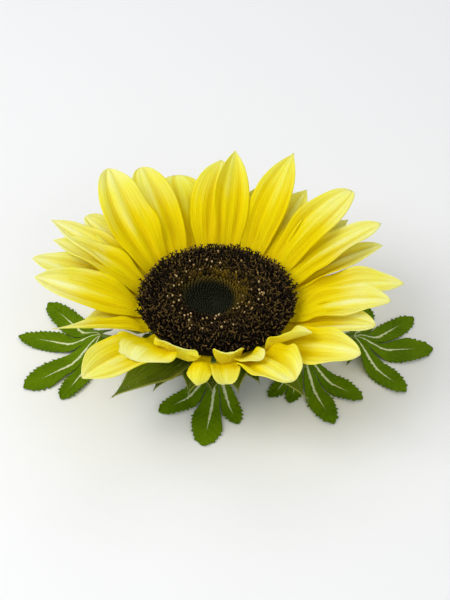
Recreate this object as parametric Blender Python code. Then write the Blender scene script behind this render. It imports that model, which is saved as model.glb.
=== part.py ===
"""Cut sunflower: one bloom lying face up on a short cut stem and a collar of lobed leaves.

The surface that it lies on is z = 0, and the origin is under the middle of the whole part. All
pieces are modelled round the flower's own axis, which is then moved to its place.
"""
import math
import random

import bmesh
import bpy
from mathutils import Vector
from mathutils.geometry import delaunay_2d_cdt

MM = 0.001
GAP = 0.3 * MM                    # air between two neighbouring solids

# Driving dimensions
AXIS_X = -3.0 * MM                # the flower's axis, from the middle of the whole part
AXIS_Y = -9.8 * MM
DISC_R = 30.0 * MM                # the brown disc of florets, over their tips
DISC_TOP_Z = 35.6 * MM            # crown of the disc, between its hollow and its rounded rim
STUB_R = 6.5 * MM                 # cut stem
HEAD_Z = 28.0 * MM                # top of the green receptacle, where the florets sit
HEAD_SEGMENTS = 40
RING_IN = 24.5 * MM               # ring that carries the ray petals
RING_OUT = 28.3 * MM
RING_TOP = 30.6 * MM
RING_SEGMENTS = 48
LIP_R = 28.7 * MM                 # underside of the disc's rim, over the petals' roots
LIP_Z = 32.2 * MM
PETAL_THICK = 0.75 * MM
PETAL_ROOT_R = 25.6 * MM          # a petal's root is sunk in the ring
PETAL_FREE_R = 30.3 * MM          # where a petal leaves the disc's edge and starts to rise
LOWER_LAYER_Z = 29.0 * MM
UPPER_LAYER_Z = 30.1 * MM
BRACT_THICK = 0.8 * MM
LEAF_THICK = 0.8 * MM
LEAF_FLAT_REACH = 15.0 * MM       # distance from a leaf's junction to where it lies flat
PETIOLE_R = 1.3 * MM

DISC_POINTS = 700                 # floret tips, and the pits between them
RIM_POINTS = 60                   # round the disc's edge, each second one a tip
RIM_RELIEF = 0.9 * MM
HOLLOW_DEPTH = 2.2 * MM           # hollow in the middle of the disc
HOLLOW_SHARE = 0.42               # and its share of the disc's radius
SHOULDER_DROP = 1.6 * MM          # how far the disc falls at its edge
FLORET_STEPS = (1.3, -0.7, 0.1, -0.7)   # height of each point in turn along the spiral
GOLDEN_ANGLE = math.pi * (3.0 - math.sqrt(5.0))

# Ray petals, all round the disc and anticlockwise from +X. Each has its root's azimuth, the
# turn of its line away from the radius and its further sway towards the tip, its length and
# width in millimetres, the slopes at its root and tip in degrees, its cupping, its roll about
# its own line, the share of its length where it is broadest, the power that shapes its tip
# (lower is blunter), and its layer.
PETALS = (
    (4, 3, -10, 42, 18, 24, 1, 0.30, 0, 0.5, 0.8, "lower"),
    (21, -1, 0, 40, 14, 24, 8, 0.35, -6, 0.5, 0.7, "lower"),
    (26, 2, -2, 44, 17, 28, 10, 0.35, -8, 0.5, 0.75, "upper"),
    (36, 3, 0, 37, 14, 24, 10, 0.35, 0, 0.5, 1.0, "lower"),
    (41, 4, -4, 46, 18, 34, 11, 0.30, 0, 0.58, 0.55, "upper"),
    (56, 1, 0, 38, 16, 32, 14, 0.35, 0, 0.5, 1.0, "lower"),
    (65, 2, -2, 50, 17, 36, 16, 0.28, 0, 0.5, 1.1, "upper"),
    (75, 0, 0, 34, 14, 28, 12, 0.35, 0, 0.5, 1.0, "lower"),
    (83, 2, 0, 46, 15, 38, 17, 0.50, 12, 0.5, 1.0, "upper"),
    (95, -4, -18, 45, 18, 30, 14, 0.35, 0, 0.45, 1.0, "lower"),
    (105, 1, -8, 41, 19, 32, 11, 0.35, 0, 0.55, 0.5, "lower"),
    (121, -5, -6, 44, 18, 34, 17, 0.30, 0, 0.52, 0.5, "upper"),
    (138, -4, -26, 48, 21, 38, 20, 0.26, 0, 0.48, 0.6, "upper"),
    (143, -1, 0, 38, 14, 28, 10, 0.30, 0, 0.5, 0.5, "lower"),
    (154, -1, -2, 46, 15, 30, 11, 0.30, 0, 0.5, 1.0, "lower"),
    (161, -2, -2, 40, 18, 30, 7, 0.40, 8, 0.5, 1.0, "upper"),
    (169, -1, 0, 44, 16, 24, 9, 0.30, 0, 0.5, 0.7, "lower"),
    (183, -2, -14, 41, 20, 28, 7, 0.28, -6, 0.5, 0.9, "upper"),
    (193, 2, 0, 22, 12, 16, 2, 0.40, 0, 0.5, 1.0, "lower"),
    (204, 0, 0, 37, 8, 26, 14, 0.40, 22, 0.5, 1.0, "upper"),
    (222, 11, 0, 41, 18, 28, 7, 0.22, -12, 0.5, 0.8, "upper"),
    (230, 6, 0, 16, 20, 22, 10, 0.12, 0, 0.55, 0.4, "lower"),
    (243, 0, 0, 11, 20, 84, 50, 0.08, 0, 0.5, 0.35, "upper"),
    (261, -4, 0, 17, 10, 40, -150, 0.25, 8, 0.5, 0.4, "upper"),
    (275, 0, 0, 12, 11, 30, -70, 0.25, 0, 0.5, 0.4, "lower"),
    (278, 0, 0, 11, 12, 84, 20, 0.30, 0, 0.5, 0.35, "upper"),
    (288, 10, 20, 14, 11, 54, 0, 0.20, 0, 0.5, 0.5, "upper"),
    (294, 8, 6, 28, 23, 38, 2, 0.35, 0, 0.5, 0.5, "lower"),
    (310, 16, 34, 20, 13, 44, 20, 0.75, -30, 0.5, 0.8, "upper"),
    (314, 8, 18, 37, 20, 26, 14, 0.40, 8, 0.5, 0.6, "lower"),
    (338, 3, 6, 33, 16, 26, 7, 0.35, 0, 0.5, 0.6, "lower"),
    (350, 2, 2, 37, 18, 28, 7, 0.32, 0, 0.5, 0.7, "upper"),
)
SHORT_PETAL = 20.5 * MM           # shorter ones rise straight and curl over late
STEEP = 0.7                       # sine of a root slope past which a petal rises further out,
RIM_CLEARANCE = 3.8 * MM          # by this much for each unit of sine above it
PETAL_ROWS = 6                    # along the free part of a petal
PETAL_COLUMNS = (-1.0, -0.45, 0.0, 0.45, 1.0)
PETAL_GROOVES = (0.0, -0.05, 0.06, -0.05, 0.0)   # ridge and two furrows, in half-widths

# Bracts under the bloom, in two whorls: how many, azimuth of the first, root radius and
# height, length, width, and the slopes at root and tip.
BRACT_WHORLS = (
    (11, -12, 23.0, 21.6, 21, 13.5, 6, -18),
    (11, 5, 20.0, 19.4, 20, 12.5, -4, -22),
)
BRACT_SEED = 7
BRACT_ROWS = 5
BRACT_SUNK = 4.0 * MM             # length of a bract's root inside the receptacle
BRACT_BROADEST = 0.4              # share of a bract's length
BRACT_CUP = 0.22
# Bracts unlike the rest of their whorl, by whorl and place in it: share of the length and of
# the width, shift in azimuth, and sway towards the tip.
BRACTS_APART = {
    (0, 7): (1.42, 1.60, 12, -14), (0, 8): (0.70, 1.0, 4, 0), (0, 9): (0.66, 1.0, 0, 0),
    (0, 10): (1.32, 1.0, -5, 0), (1, 7): (0.95, 1.1, -2, 0), (1, 8): (0.62, 1.0, 0, 0),
    (1, 9): (0.62, 1.0, 0, 0),
}

# Leaves: junction of the lobes (x, y, height), height where the stalk meets the stem, and
# each lobe's tip and width (x, y, width), anticlockwise round the junction.
LEAVES = {
    "leaf_left": ((-46, 6, 8), 6.0,
                  ((-70, 34, 11), (-80, 14, 11), (-75, -15, 13), (-60, -21, 9))),
    "leaf_front": ((0, -13, 9), 4.5,
                   ((-22, -28, 10), (-5, -45, 13), (8, -34, 8))),
    "leaf_front_right": ((33, -5, 9), 8.5,
                         ((20, -20, 7), (28, -23, 7), (44, -34, 10), (56, -21, 10))),
    "leaf_right": ((54, 5, 8), 5.0,
                   ((73, -17, 10), (86, 7, 14), (80, 25, 10), (62, 31, 9))),
    "leaf_back": ((-2, 26, 9), 7.5,
                  ((30, 34, 11), (17, 50, 12), (-4, 55, 12), (-27, 45, 11))),
}
LOBE_TEETH = 6
TOOTH_DEPTH = 0.7 * MM
LOBE_START = 0.24                 # share of a lobe's length where its neighbour lets go
RIB_SHARES = (0.35, 0.6, 0.82)    # where a lobe's middle rib is raised, along its length
RIB_HEIGHT = 0.5 * MM

# Turned profile of the stem stub and the receptacle, radius and height in millimetres.
STEM_PROFILE = (
    (6.5, 0.0), (6.2, 5.0), (6.4, 10.5), (8.2, 14.0), (13.5, 17.2), (21.0, 19.8),
    (26.0, 23.5), (28.2, 26.8),
)

YELLOW = (0.81, 0.61, 0.02)
BROWN = (0.030, 0.013, 0.004)
BRACT_GREEN = (0.060, 0.125, 0.003)
LEAF_GREEN = (0.067, 0.125, 0.002)


def clear_scene():
    for thing in list(bpy.data.objects):
        bpy.data.objects.remove(thing, do_unlink=True)


def make_material(name, colour, roughness):
    surface = bpy.data.materials.new(name)
    surface.use_nodes = True
    shader = surface.node_tree.nodes["Principled BSDF"]
    shader.inputs["Base Color"].default_value = (*colour, 1.0)
    shader.inputs["Roughness"].default_value = roughness
    shader.inputs["Metallic"].default_value = 0.0
    return surface


def add_object(name, bm, surface, smooth_angle=None):
    mesh = bpy.data.meshes.new(name)
    bm.to_mesh(mesh)
    bm.free()
    mesh.materials.append(surface)
    if smooth_angle is not None:
        mesh.shade_smooth()
        mesh.set_sharp_from_angle(angle=math.radians(smooth_angle))
    thing = bpy.data.objects.new(name, mesh)
    bpy.context.scene.collection.objects.link(thing)
    return thing


def join_as_one(body, pieces):
    """Unite the loose pieces with the body, leaving one closed solid."""
    group = bpy.data.collections.new(body.name + "_pieces")
    bpy.context.scene.collection.children.link(group)
    for piece in pieces:
        bpy.context.scene.collection.objects.unlink(piece)
        group.objects.link(piece)
    union = body.modifiers.new("union", "BOOLEAN")
    union.operation = "UNION"
    union.operand_type = "COLLECTION"
    union.collection = group
    union.solver = "EXACT"
    graph = bpy.context.evaluated_depsgraph_get()
    united = bpy.data.meshes.new_from_object(body.evaluated_get(graph))
    body.modifiers.remove(union)
    body.data = united
    for piece in pieces:
        bpy.data.objects.remove(piece, do_unlink=True)
    bpy.data.collections.remove(group)


def turned(bm, profile, segments):
    """Closed solid turned round Z from a profile that runs from bottom to top."""
    rings = []
    for radius, height in profile:
        ring = []
        for k in range(segments):
            angle = 2.0 * math.pi * k / segments
            ring.append(bm.verts.new((radius * math.cos(angle), radius * math.sin(angle), height)))
        rings.append(ring)
    for low, high in zip(rings, rings[1:]):
        for k in range(segments):
            after = (k + 1) % segments
            bm.faces.new((low[k], low[after], high[after], high[k]))
    return rings


def around(azimuth):
    """Level unit vector at an azimuth in degrees."""
    return Vector((math.cos(math.radians(azimuth)), math.sin(math.radians(azimuth)), 0))


def blade(bm, rows, thickness):
    """Thin solid about a grid of points, with the same triangles on both faces."""
    last_row = len(rows) - 1
    last_column = len(rows[0]) - 1
    top, bottom = [], []
    for i, row in enumerate(rows):
        top_row, bottom_row = [], []
        for j, point in enumerate(row):
            along = rows[min(i + 1, last_row)][j] - rows[max(i - 1, 0)][j]
            across = row[min(j + 1, last_column)] - row[max(j - 1, 0)]
            normal = along.cross(across).normalized()
            top_row.append(bm.verts.new(point - normal * thickness / 2))
            bottom_row.append(bm.verts.new(point + normal * thickness / 2))
        top.append(top_row)
        bottom.append(bottom_row)
    for i in range(last_row):
        for j in range(last_column):
            for grid in (top, bottom):
                a, b = grid[i][j], grid[i][j + 1]
                c, d = grid[i + 1][j + 1], grid[i + 1][j]
                bm.faces.new((a, b, c))
                bm.faces.new((a, c, d))
    edge_loop = [(0, j) for j in range(last_column)]
    edge_loop += [(i, last_column) for i in range(last_row)]
    edge_loop += [(last_row, j) for j in range(last_column, 0, -1)]
    edge_loop += [(i, 0) for i in range(last_row, 0, -1)]
    for (i, j), (k, m) in zip(edge_loop, edge_loop[1:] + edge_loop[:1]):
        bm.faces.new((top[i][j], top[k][m], bottom[k][m]))
        bm.faces.new((top[i][j], bottom[k][m], bottom[i][j]))
    bmesh.ops.recalc_face_normals(bm, faces=bm.faces)


def middle_line(start, heading, sway, length, slopes, level_run, steps, late=1.0):
    """Middle line of a blade as (point, way, slope, share): level first, then an arc.

    The heading is the azimuth of the level run and of the arc's beginning."""
    level_way, turned_way = around(heading[0]), around(heading[1])
    root_slope, tip_slope = math.radians(slopes[0]), math.radians(slopes[1])
    point = start + level_way * level_run
    line = [(start, level_way, 0.0, 0.0),
            (point, (level_way + turned_way).normalized(), root_slope / 2, 0.0)]
    fine = 10
    for step in range(1, steps * fine + 1):
        share = step / (steps * fine)
        slope = root_slope + (tip_slope - root_slope) * share ** late
        way = around(heading[1] + sway * share)
        climb = way * math.cos(slope) + Vector((0, 0, math.sin(slope)))
        point = point + climb * length / (steps * fine)
        if step % fine == 0:
            line.append((point, way, slope, share))
    return line


def petal_half_width(t, width, broadest, bluntness):
    """Half the width of a ray petal at the share t of its free length."""
    if t < broadest:
        share = 0.48 + 0.52 * math.sin(math.pi / 2 * t / broadest)
    else:
        share = (1.0 - min(1.0, (t - broadest) / (1.0 - broadest)) ** 2.0) ** bluntness
    end = 0.07 + 0.35 * max(0.0, 0.7 - bluntness)
    return width / 2 * max(share, end)


def petal_rows(petal):
    (azimuth, turn, sway, length, width, root_slope, tip_slope, cup, roll, broadest, bluntness,
     layer) = petal
    start = around(azimuth) * PETAL_ROOT_R
    start.z = UPPER_LAYER_Z if layer == "upper" else LOWER_LAYER_Z
    late = 2.0 if length * MM < SHORT_PETAL else 1.0
    steep = max(0.0, math.sin(math.radians(root_slope)) - STEEP)
    level_run = PETAL_FREE_R + RIM_CLEARANCE * steep - PETAL_ROOT_R
    line = middle_line(start, (azimuth, azimuth + turn), sway, length * MM,
                       (root_slope, tip_slope), level_run, PETAL_ROWS, late)
    rows = []
    for middle, way, slope, t in line:
        freedom = min(1.0, t / 0.25)
        aside = Vector((-way.y, way.x, 0))
        lift = Vector((0, 0, math.cos(slope))) - way * math.sin(slope)
        twist = math.radians(roll) * freedom
        side = aside * math.cos(twist) + lift * math.sin(twist)
        up = lift * math.cos(twist) - aside * math.sin(twist)
        half = petal_half_width(t, width * MM, broadest, bluntness)
        row = []
        for share, groove in zip(PETAL_COLUMNS, PETAL_GROOVES):
            rise = (cup * share * share + groove * 2.0) * half * freedom
            row.append(middle + side * share * half + up * rise)
        rows.append(row)
    return rows


def make_petals(surface):
    ring = bmesh.new()
    profile = (
        (RING_OUT, HEAD_Z + GAP), (RING_OUT, RING_TOP), (RING_IN, RING_TOP),
        (RING_IN, HEAD_Z + GAP),
    )
    rings = turned(ring, profile, RING_SEGMENTS)
    for k in range(RING_SEGMENTS):
        after = (k + 1) % RING_SEGMENTS
        ring.faces.new((rings[-1][k], rings[-1][after], rings[0][after], rings[0][k]))
    bmesh.ops.recalc_face_normals(ring, faces=ring.faces)
    body = add_object("ray_petals", ring, surface, 40)
    pieces = []
    for petal in PETALS:
        bm = bmesh.new()
        blade(bm, petal_rows(petal), PETAL_THICK)
        pieces.append(add_object("petal", bm, surface))
    join_as_one(body, pieces)


def disc_height(radius):
    """Mean height of the florets' tips: a shallow hollow inside a low rounded ring."""
    share = radius / DISC_R
    hollow = HOLLOW_DEPTH * (1.0 - min(1.0, share / HOLLOW_SHARE) ** 2)
    shoulder = SHOULDER_DROP * max(0.0, (share - 0.8) / 0.2) ** 2
    return DISC_TOP_Z - hollow - shoulder


def make_disc(surface):
    """Disc of florets as relief on a golden-angle spiral, over the ring of petal roots."""
    points, heights = [], []
    for k in range(RIM_POINTS):
        angle = 2.0 * math.pi * k / RIM_POINTS
        points.append(Vector((DISC_R * math.cos(angle), DISC_R * math.sin(angle))))
        heights.append(disc_height(DISC_R) + (RIM_RELIEF if k % 2 else -RIM_RELIEF))
    inner = DISC_R - 1.5 * MM
    for n in range(DISC_POINTS):
        radius = inner * math.sqrt((n + 0.5) / DISC_POINTS)
        angle = n * GOLDEN_ANGLE
        points.append(Vector((radius * math.cos(angle), radius * math.sin(angle))))
        depth = (0.35 + 0.65 * min(1.0, radius / (0.6 * DISC_R))) * MM
        heights.append(disc_height(radius) + depth * FLORET_STEPS[n % 4])
    rim = list(range(RIM_POINTS))
    result = delaunay_2d_cdt(points, [], [rim], 1, 1e-7)
    bm = bmesh.new()
    verts = []
    for place, source in zip(result[0], result[3]):
        verts.append(bm.verts.new((place.x, place.y, heights[source[0]])))
    rim_verts = [None] * RIM_POINTS
    for vert, source in zip(verts, result[3]):
        if source[0] < RIM_POINTS:
            rim_verts[source[0]] = vert
    for face in result[2]:
        bm.faces.new([verts[k] for k in face])
    below = ((DISC_R, LIP_Z), (LIP_R, LIP_Z), (LIP_R, RING_TOP + GAP),
             (RING_IN - GAP, RING_TOP + GAP), (RING_IN - GAP, HEAD_Z + GAP))
    rings = turned(bm, below, RIM_POINTS)
    for k in range(RIM_POINTS):
        after = (k + 1) % RIM_POINTS
        bm.faces.new((rim_verts[k], rim_verts[after], rings[0][after]))
        bm.faces.new((rim_verts[k], rings[0][after], rings[0][k]))
    bm.faces.new(rings[-1])
    bmesh.ops.recalc_face_normals(bm, faces=bm.faces)
    add_object("disc_florets", bm, surface)


def bract_half_width(t, width):
    """Half the width of a bract: broad over its lower part, then drawn out to a point."""
    if t < BRACT_BROADEST:
        share = 0.8 + 0.2 * t / BRACT_BROADEST
    else:
        share = (1.0 - (t - BRACT_BROADEST) / (1.0 - BRACT_BROADEST)) ** 1.35
    return width / 2 * max(share, 0.07)


def bract_rows(azimuth, sway, radius, height, length, width, slopes):
    start = around(azimuth) * (radius - BRACT_SUNK) + Vector((0, 0, height))
    line = middle_line(start, (azimuth, azimuth), sway, length, slopes, BRACT_SUNK, BRACT_ROWS)
    rows = []
    for middle, way, _, t in line:
        aside = Vector((-way.y, way.x, 0))
        half = bract_half_width(t, width)
        row = []
        for share in (-1.0, 0.0, 1.0):
            cup = BRACT_CUP * half * share * share
            row.append(middle + aside * share * half + Vector((0, 0, cup)))
        rows.append(row)
    return rows


def make_head(surface):
    """Stem stub and receptacle in one turned solid, with the bracts grown from it."""
    bm = bmesh.new()
    profile = [(radius * MM, height * MM) for radius, height in STEM_PROFILE]
    profile.append((RING_OUT, HEAD_Z))
    rings = turned(bm, profile, HEAD_SEGMENTS)
    bm.faces.new(rings[0])
    bm.faces.new(rings[-1])
    bmesh.ops.recalc_face_normals(bm, faces=bm.faces)
    body = add_object("receptacle_and_stem", bm, surface, 35)
    chance = random.Random(BRACT_SEED)
    pieces = []
    for whorl, bract in enumerate(BRACT_WHORLS):
        count, first, radius, height, length, width, root_slope, tip_slope = bract
        for k in range(count):
            usual = (chance.uniform(0.92, 1.06), 1.0, chance.uniform(-3, 3), 0)
            share, wider, shift, sway = BRACTS_APART.get((whorl, k), usual)
            azimuth = first + 360 * k / count + shift
            slopes = (root_slope + chance.uniform(-3, 3), tip_slope + chance.uniform(-6, 6))
            bm = bmesh.new()
            rows = bract_rows(azimuth, sway, radius * MM, height * MM, length * share * MM,
                              width * wider * MM, slopes)
            blade(bm, rows, BRACT_THICK)
            pieces.append(add_object("bract", bm, surface))
    join_as_one(body, pieces)


def lobe_half_width(share, width):
    """Half the width of a leaf's lobe at a share of the way from its notch to its tip."""
    return width / 2 * math.sin(math.pi * (0.14 + 0.80 * share)) ** 0.7


def leaf_outline(junction, lobes):
    """Plan of a lobed leaf: out along each lobe's toothed edge, round its tip and back."""
    centre = Vector(junction[:2]) * MM
    reaches = [Vector(lobe[:2]) * MM - centre for lobe in lobes]
    angles = [math.atan2(reach.y, reach.x) for reach in reaches]
    for k in range(1, len(angles)):
        while angles[k] < angles[k - 1]:
            angles[k] += 2.0 * math.pi
    outline, ribs = [], []
    for k, angle in enumerate(angles):
        length, width = reaches[k].length, lobes[k][2] * MM
        ahead = Vector((math.cos(angle), math.sin(angle)))
        aside = Vector((-ahead.y, ahead.x))
        before = (angle - angles[k - 1]) / 2 if k else math.pi / 3
        after = (angles[k + 1] - angle) / 2 if k + 1 < len(angles) else math.pi / 3
        for side, clear in ((-1, before), (1, after)):
            edge = []
            for step in range(2 * LOBE_TEETH):
                share = (step + 0.5) / (2 * LOBE_TEETH)
                along = length * (LOBE_START + (0.985 - LOBE_START) * share)
                half = lobe_half_width(share, width)
                half += TOOTH_DEPTH / 2 if step % 2 else -TOOTH_DEPTH / 2
                half = min(half, along * math.tan(min(clear, math.pi / 3)) * 0.92)
                edge.append(centre + ahead * along + aside * side * half)
            if side < 0:
                outline.extend(edge)
                outline.append(centre + ahead * length)
            else:
                outline.extend(reversed(edge))
        ribs.append([centre + ahead * length * share for share in RIB_SHARES])
        if k + 1 < len(angles):
            notch = angle + after
            deep = LOBE_START * 0.8 * min(length, reaches[k + 1].length)
            outline.append(centre + Vector((math.cos(notch), math.sin(notch))) * deep)
    back = (angles[0] + angles[-1]) / 2 + math.pi
    outline.append(centre + Vector((math.cos(back), math.sin(back))) * 4.0 * MM)
    return centre, outline, ribs


def leaf_height(place, centre, junction_height):
    """Underside of a leaf: raised at the junction of its lobes and flat further out."""
    share = min(1.0, (place - centre).length / LEAF_FLAT_REACH)
    return junction_height * (1.0 - share * share * (3.0 - 2.0 * share))


def make_leaf(name, surface):
    junction, stem_height, lobes = LEAVES[name]
    centre, outline, ribs = leaf_outline(junction, lobes)
    points = list(outline)
    for rib in ribs:
        points.extend(rib)
    points.append(centre)
    result = delaunay_2d_cdt(points, [], [list(range(len(outline)))], 1, 1e-7)
    bm = bmesh.new()
    top, bottom = [], []
    for place, source in zip(result[0], result[3]):
        low = leaf_height(place, centre, junction[2] * MM)
        on_rib = any(k >= len(outline) for k in source)
        top.append(bm.verts.new((place.x, place.y, low + LEAF_THICK + (RIB_HEIGHT if on_rib else 0))))
        bottom.append(bm.verts.new((place.x, place.y, low)))
    for face in result[2]:
        bm.faces.new([top[k] for k in face])
        bm.faces.new([bottom[k] for k in reversed(face)])
    for edge in [edge for edge in bm.edges if edge.is_boundary and edge.verts[0] in top]:
        a, b = (top.index(vert) for vert in edge.verts)
        bm.faces.new((top[a], top[b], bottom[b]))
        bm.faces.new((top[a], bottom[b], bottom[a]))
    bmesh.ops.recalc_face_normals(bm, faces=bm.faces)
    leaf = add_object(name, bm, surface)
    heading = math.atan2(centre.y, centre.x)
    out = Vector((math.cos(heading), math.sin(heading), 0))
    start = out * (STUB_R + GAP) + Vector((0, 0, stem_height * MM))
    end = Vector((centre.x, centre.y, junction[2] * MM + LEAF_THICK / 2))
    join_as_one(leaf, [make_stalk(start, end, out, surface)])


def make_stalk(start, end, out, surface):
    """Leaf stalk: a gently sagging tube whose inner end is cut square to face the stem."""
    bm = bmesh.new()
    sides, steps = 8, 6
    aside = Vector((-out.y, out.x, 0))
    rings = []
    for step in range(steps + 1):
        t = step / steps
        middle = start.lerp(end, t) - Vector((0, 0, 1.2 * MM * math.sin(math.pi * t)))
        ring = []
        for k in range(sides):
            angle = 2.0 * math.pi * k / sides
            radius = PETIOLE_R * (1.15 - 0.3 * t)
            offset = aside * math.cos(angle) + Vector((0, 0, math.sin(angle)))
            ring.append(bm.verts.new(middle + offset * radius))
        rings.append(ring)
    for low, high in zip(rings, rings[1:]):
        for k in range(sides):
            after = (k + 1) % sides
            bm.faces.new((low[k], low[after], high[after], high[k]))
    bm.faces.new(rings[0])
    bm.faces.new(rings[-1])
    bmesh.ops.recalc_face_normals(bm, faces=bm.faces)
    return add_object("stalk", bm, surface)


def place_in_frame():
    """Put the flower's axis where it leaves the origin under the middle of the whole part."""
    axis = bpy.data.objects.new("flower_axis", None)
    bpy.context.scene.collection.objects.link(axis)
    axis.location = (AXIS_X, AXIS_Y, 0.0)
    for thing in bpy.data.objects:
        if thing is not axis:
            thing.parent = axis


def main():
    clear_scene()
    make_head(make_material("bract_green", BRACT_GREEN, 0.55))
    make_petals(make_material("petal_yellow", YELLOW, 0.50))
    make_disc(make_material("floret_brown", BROWN, 0.75))
    leaf_green = make_material("leaf_green", LEAF_GREEN, 0.60)
    for name in LEAVES:
        make_leaf(name, leaf_green)
    place_in_frame()


main()
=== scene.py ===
import math
import random

import bmesh
import bpy
from mathutils import Matrix, Vector, noise


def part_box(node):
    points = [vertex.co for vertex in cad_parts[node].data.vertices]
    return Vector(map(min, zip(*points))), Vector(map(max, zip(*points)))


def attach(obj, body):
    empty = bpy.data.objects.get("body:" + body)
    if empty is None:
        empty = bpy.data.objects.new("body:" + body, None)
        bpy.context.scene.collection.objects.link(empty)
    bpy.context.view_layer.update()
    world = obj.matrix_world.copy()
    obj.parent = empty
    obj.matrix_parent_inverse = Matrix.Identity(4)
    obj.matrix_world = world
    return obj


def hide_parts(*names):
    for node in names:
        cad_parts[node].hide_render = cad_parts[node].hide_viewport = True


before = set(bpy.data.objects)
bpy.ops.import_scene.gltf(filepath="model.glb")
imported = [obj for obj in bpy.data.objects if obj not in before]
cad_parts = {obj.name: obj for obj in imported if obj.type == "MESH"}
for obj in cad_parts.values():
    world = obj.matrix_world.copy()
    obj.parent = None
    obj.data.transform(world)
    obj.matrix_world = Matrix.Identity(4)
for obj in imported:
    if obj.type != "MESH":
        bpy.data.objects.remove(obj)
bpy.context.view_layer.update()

mm = 0.001
goldenAngle = math.pi * (3.0 - math.sqrt(5.0))
discLow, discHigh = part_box("disc_florets")
flowerAxis = Vector(((discLow.x + discHigh.x) / 2, (discLow.y + discHigh.y) / 2, 0.0))
print("frame loaded, flower axis at", [round(value, 4) for value in flowerAxis])


# Node helpers

def addNode(tree, kind, place, **settings):
    node = tree.nodes.new("ShaderNode" + kind)
    node.location = place
    for name, value in settings.items():
        setattr(node, name, value)
    return node


def plug(tree, value, socket):
    # a socket is linked, anything else is set as the value
    if isinstance(value, bpy.types.NodeSocket):
        tree.links.new(value, socket)
    elif isinstance(value, tuple) and len(value) == 3 and socket.type == "RGBA":
        socket.default_value = (*value, 1.0)
    else:
        socket.default_value = value


def maths(tree, place, operation, first, second=None, third=None):
    node = addNode(tree, "Math", place, operation=operation)
    for socket, value in zip(node.inputs, (first, second, third)):
        if value is not None:
            plug(tree, value, socket)
    return node.outputs[0]


def blendColours(tree, place, factor, first, second):
    # a Mix node takes its two colours in sockets 6 and 7 and gives the blend in socket 2
    node = addNode(tree, "Mix", place, data_type="RGBA")
    plug(tree, factor, node.inputs[0])
    plug(tree, first, node.inputs[6])
    plug(tree, second, node.inputs[7])
    return node.outputs[2]


def remap(tree, place, value, low, high, newLow, newHigh, smooth=False):
    node = addNode(tree, "MapRange", place)
    node.interpolation_type = "SMOOTHSTEP" if smooth else "LINEAR"
    for socket, item in zip(node.inputs, (value, low, high, newLow, newHigh)):
        plug(tree, item, socket)
    return node.outputs[0]


def colourRamp(tree, place, factor, stops):
    node = addNode(tree, "ValToRGB", place)
    ramp = node.color_ramp
    while len(ramp.elements) < len(stops):
        ramp.elements.new(0.5)
    for element, (position, colour) in zip(ramp.elements, stops):
        element.position = position
        element.color = (*colour, 1.0)
    plug(tree, factor, node.inputs[0])
    return node.outputs[0]


def readAttribute(tree, place, name):
    return addNode(tree, "Attribute", place, attribute_name=name).outputs["Fac"]


def newGroup(name, inputs, outputs):
    group = bpy.data.node_groups.new(name, "ShaderNodeTree")
    for label, kind, value in inputs:
        socket = group.interface.new_socket(label, in_out="INPUT", socket_type=kind)
        if value is not None:
            socket.default_value = value
    for label, kind in outputs:
        group.interface.new_socket(label, in_out="OUTPUT", socket_type=kind)
    start = group.nodes.new("NodeGroupInput")
    start.location = (-900, 0)
    end = group.nodes.new("NodeGroupOutput")
    end.location = (600, 0)
    return group, start, end


def useGroup(tree, group, place, **values):
    node = addNode(tree, "Group", place, node_tree=group)
    for name, value in values.items():
        plug(tree, value, node.inputs[name])
    return node


def newMaterial(name):
    material = bpy.data.materials.new(name)
    material.use_nodes = True
    return material, material.node_tree, material.node_tree.nodes["Principled BSDF"]


# Noise mostly lies between these, so they are stretched to 0 and 1
noiseRange = (0.3, 0.7)

# Streaks that run the length of a blade and draw together where it narrows
streakForm = {"seedStep": 37.0, "detail": 3.0, "bend": 1.2, "veinFrom": 0.55}
streaks, start, end = newGroup(
    "bladeStreaks",
    [("Along", "NodeSocketFloat", 0.0), ("Across", "NodeSocketFloat", 0.5),
     ("Count", "NodeSocketFloat", 40.0), ("Stretch", "NodeSocketFloat", 2.0),
     ("Seed", "NodeSocketFloat", 0.0)],
    [("Streak", "NodeSocketFloat"), ("Vein", "NodeSocketFloat")])
spread = maths(streaks, (-700, 100), "MULTIPLY", start.outputs["Across"], start.outputs["Count"])
drawn = maths(streaks, (-700, -60), "MULTIPLY", start.outputs["Along"], start.outputs["Stretch"])
offset = maths(streaks, (-700, -220), "MULTIPLY", start.outputs["Seed"], streakForm["seedStep"])
where = addNode(streaks, "CombineXYZ", (-500, 0))
plug(streaks, drawn, where.inputs[0])
plug(streaks, spread, where.inputs[1])
plug(streaks, offset, where.inputs[2])
grain = addNode(streaks, "TexNoise", (-300, 60))
grain.inputs["Scale"].default_value = 1.0
grain.inputs["Detail"].default_value = streakForm["detail"]
plug(streaks, where.outputs[0], grain.inputs["Vector"])
plug(streaks, remap(streaks, (0, 120), grain.outputs[0], *noiseRange, 0.0, 1.0),
     end.inputs["Streak"])
bent = maths(streaks, (-300, -200), "MULTIPLY_ADD", grain.outputs[0], streakForm["bend"], spread)
ridges = maths(streaks, (-100, -200), "PINGPONG", bent, 1.0)
plug(streaks, remap(streaks, (100, -200), ridges, streakForm["veinFrom"], 1.0, 0.0, 1.0, True),
     end.inputs["Vein"])

# Soft cloudy patches, for uneven colour and grain
patches, start, end = newGroup(
    "softPatches",
    [("Vector", "NodeSocketVector", None), ("Scale", "NodeSocketFloat", 60.0),
     ("Detail", "NodeSocketFloat", 3.0)],
    [("Patch", "NodeSocketFloat")])
cloud = addNode(patches, "TexNoise", (-300, 0))
plug(patches, start.outputs["Vector"], cloud.inputs["Vector"])
plug(patches, start.outputs["Scale"], cloud.inputs["Scale"])
plug(patches, start.outputs["Detail"], cloud.inputs["Detail"])
plug(patches, remap(patches, (0, 0), cloud.outputs[0], *noiseRange, 0.0, 1.0),
     end.inputs["Patch"])


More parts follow.
